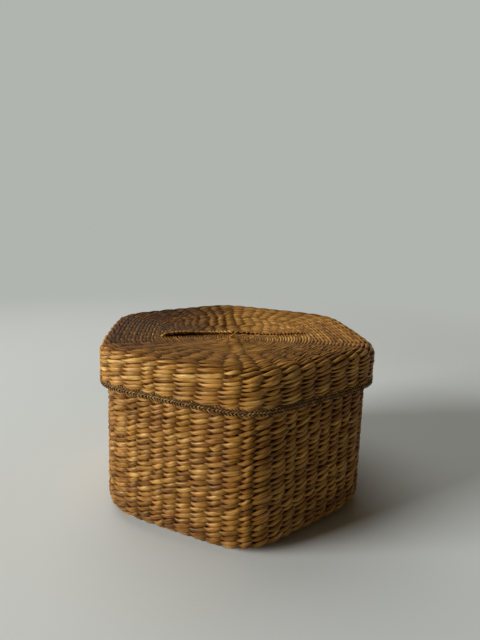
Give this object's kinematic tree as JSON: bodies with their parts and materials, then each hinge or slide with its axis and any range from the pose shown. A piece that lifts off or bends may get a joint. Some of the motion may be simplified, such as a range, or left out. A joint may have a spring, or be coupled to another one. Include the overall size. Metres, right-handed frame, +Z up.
{
  "type": "woven lidded box",
  "caption": "Low six-sided box woven from dried seagrass, with softly rounded corners and a dished lift-off lid whose deep skirt fits over the rim.",
  "frame": {"origin": "centre of the underside of the floor, where the box rests", "axes": "+Z up out of the box; +X square to one pair of opposite sides; +Y towards a corner"},
  "size_m": [0.1418, 0.1546, 0.0896],
  "materials": {
    "box_weave": "satin, plaited dried seagrass",
    "lid_weave": "satin, plaited dried seagrass",
    "edge_border": "matte, fine twined grass",
    "stake": "matte, flat dried rush"
  },
  "bodies": {
    "box": {"box_weave": "box_weave", "box_stake_1_01": "stake", "box_stake_1_02": "stake", "box_stake_1_03": "stake", "box_stake_1_04": "stake", "box_stake_1_05": "stake", "box_stake_1_06": "stake", "box_stake_1_07": "stake", "box_stake_1_08": "stake", "box_stake_1_09": "stake", "box_stake_1_10": "stake", "box_stake_2_01": "stake", "box_stake_2_02": "stake", "box_stake_2_03": "stake", "box_stake_2_04": "stake", "box_stake_2_05": "stake", "box_stake_2_06": "stake", "box_stake_2_07": "stake", "box_stake_2_08": "stake", "box_stake_2_09": "stake", "box_stake_2_10": "stake", "box_stake_3_01": "stake", "box_stake_3_02": "stake", "box_stake_3_03": "stake", "box_stake_3_04": "stake", "box_stake_3_05": "stake", "box_stake_3_06": "stake", "box_stake_3_07": "stake", "box_stake_3_08": "stake", "box_stake_3_09": "stake", "box_stake_3_10": "stake"},
    "lid": {"lid_weave": "lid_weave", "lid_edge_border": "edge_border", "lid_stake_1_01": "stake", "lid_stake_1_02": "stake", "lid_stake_1_03": "stake", "lid_stake_1_04": "stake", "lid_stake_1_05": "stake", "lid_stake_1_06": "stake", "lid_stake_1_07": "stake", "lid_stake_1_08": "stake", "lid_stake_2_01": "stake", "lid_stake_2_02": "stake", "lid_stake_2_03": "stake", "lid_stake_2_04": "stake", "lid_stake_2_05": "stake", "lid_stake_2_06": "stake", "lid_stake_2_07": "stake", "lid_stake_2_08": "stake", "lid_stake_3_01": "stake", "lid_stake_3_02": "stake", "lid_stake_3_03": "stake", "lid_stake_3_04": "stake", "lid_stake_3_05": "stake", "lid_stake_3_06": "stake", "lid_stake_3_07": "stake", "lid_stake_3_08": "stake"}
  },
  "joints": [
    {"name": "lid_lift", "type": "slide", "parent": "box", "child": "lid", "axis": [0, 0, 1], "range_m": [0, 0.08]}
  ]
}
